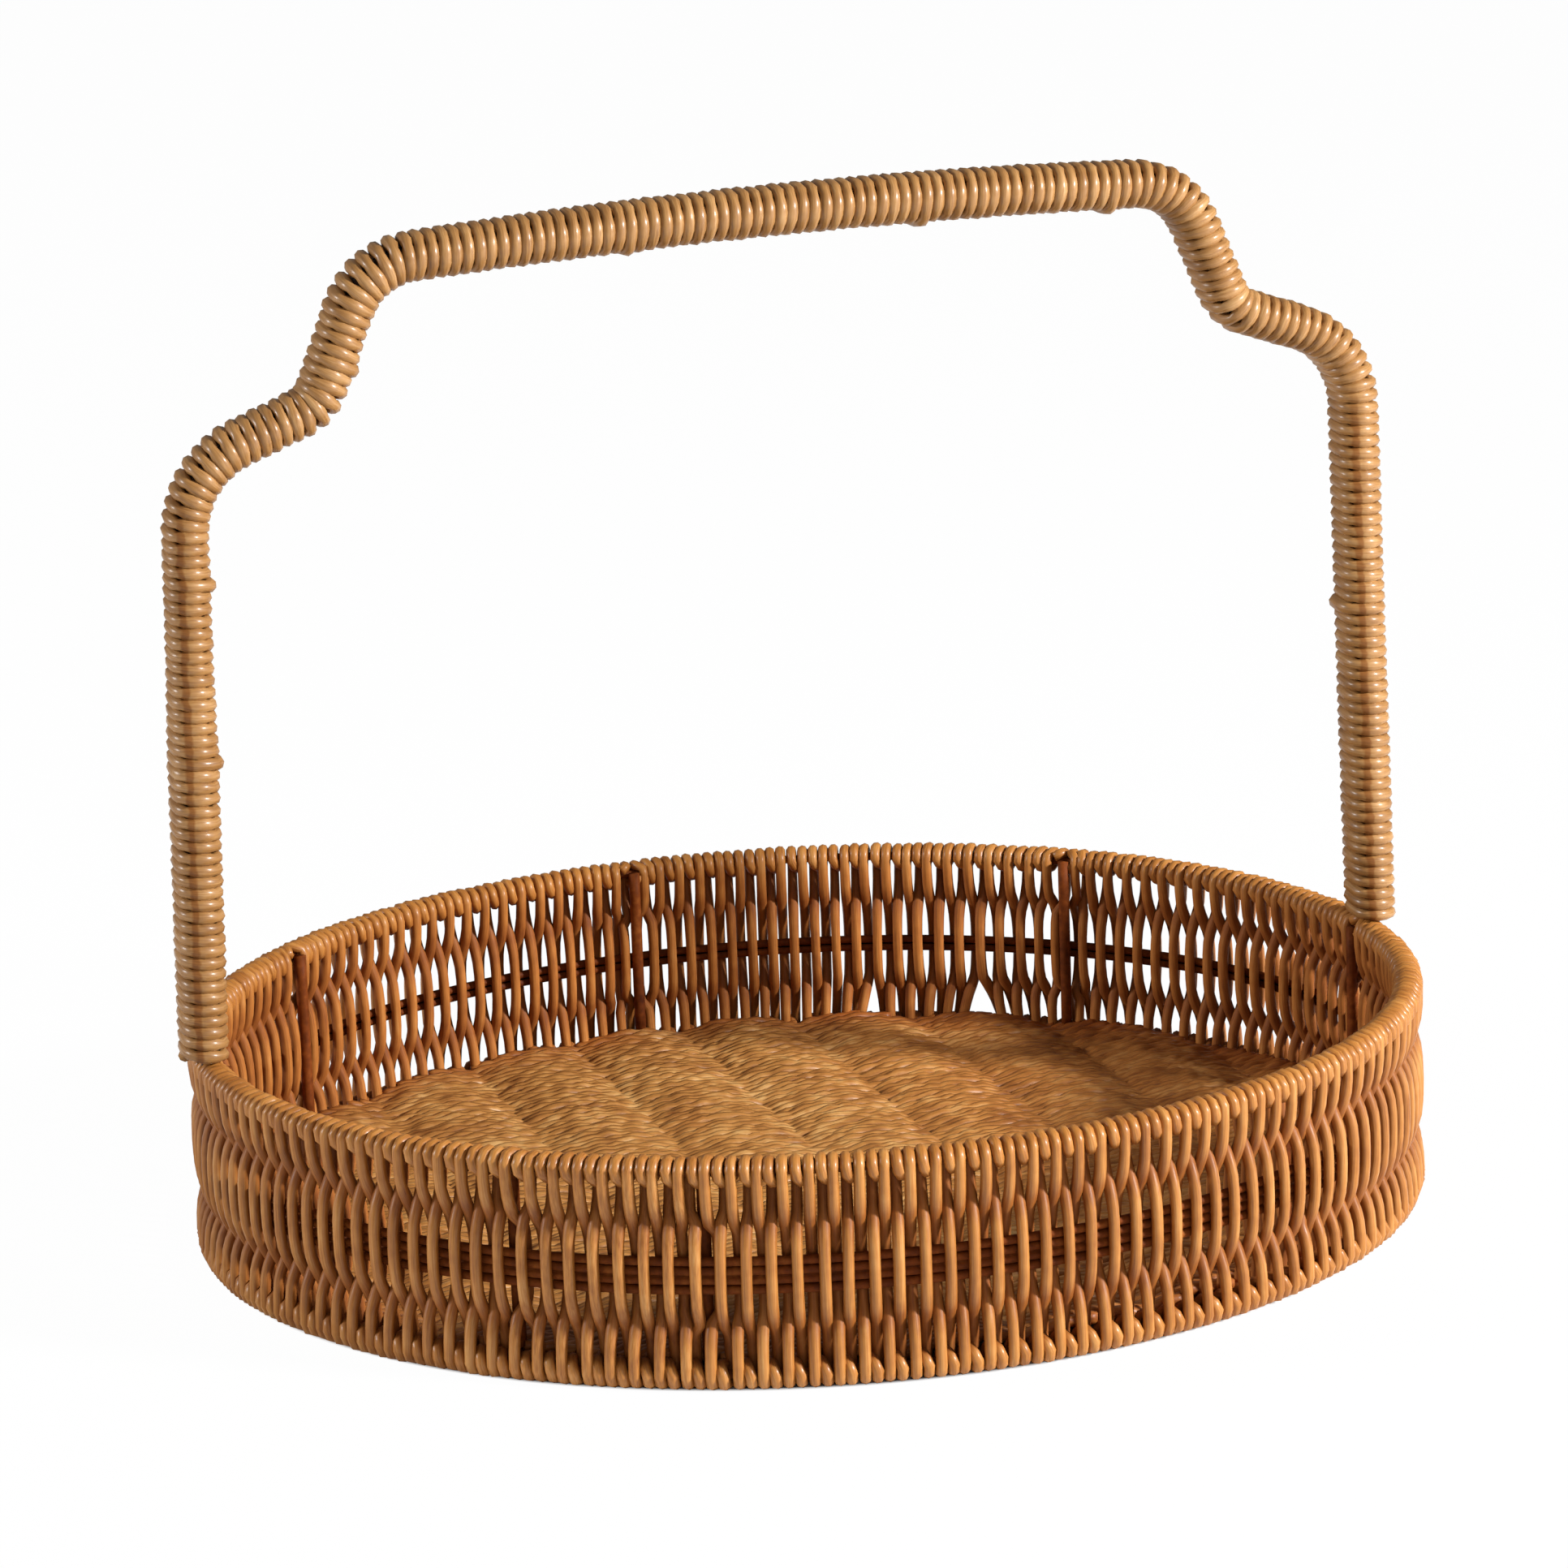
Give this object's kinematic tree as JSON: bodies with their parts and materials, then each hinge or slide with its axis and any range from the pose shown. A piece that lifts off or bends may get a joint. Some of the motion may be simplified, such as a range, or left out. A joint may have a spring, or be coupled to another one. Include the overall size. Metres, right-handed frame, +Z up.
{
  "type": "woven bread basket",
  "caption": "Shallow oval woven basket with an open top, a rolling woven floor and a fixed, strand-wound high handle with stepped shoulders.",
  "frame": {"origin": "on the table, under the middle of the oval, at the bottom centre of the basket's box", "axes": "+Z up, +X along the oval's long axis and in the handle's plane, +Y across the oval"},
  "size_m": [0.3868, 0.3444, 0.3095],
  "materials": {
    "wall_weave": "natural cane strand, lightly varnished",
    "floor_weave": "natural cane strand, matte",
    "handle_strand": "natural cane strand, wound tight and varnished",
    "frame_rod": "peeled rattan rod, stained dark",
    "handle_bar": "brown paint"
  },
  "bodies": {
    "root": {"rim_hoop": "frame_rod", "middle_hoop": "frame_rod", "base_hoop": "frame_rod", "wall_post_1": "frame_rod", "wall_post_2": "frame_rod", "wall_post_3": "frame_rod", "wall_post_4": "frame_rod", "wall_post_5": "frame_rod", "wall_post_6": "frame_rod", "wall_post_7": "frame_rod", "wall_post_8": "frame_rod", "floor_rib_1": "frame_rod", "floor_rib_2": "frame_rod", "floor_rib_3": "frame_rod", "floor_rib_4": "frame_rod", "floor_rib_5": "frame_rod", "floor_rib_6": "frame_rod", "floor_rib_7": "frame_rod", "floor_rib_8": "frame_rod", "floor_rib_9": "frame_rod", "woven_panel_1": "wall_weave", "woven_panel_2": "wall_weave", "woven_panel_3": "wall_weave", "woven_panel_4": "wall_weave", "woven_panel_5": "wall_weave", "woven_panel_6": "wall_weave", "woven_panel_7": "wall_weave", "woven_panel_8": "wall_weave", "woven_floor": "floor_weave", "handle_bar": "handle_bar", "handle_winding": "handle_strand"}
  },
  "joints": []
}
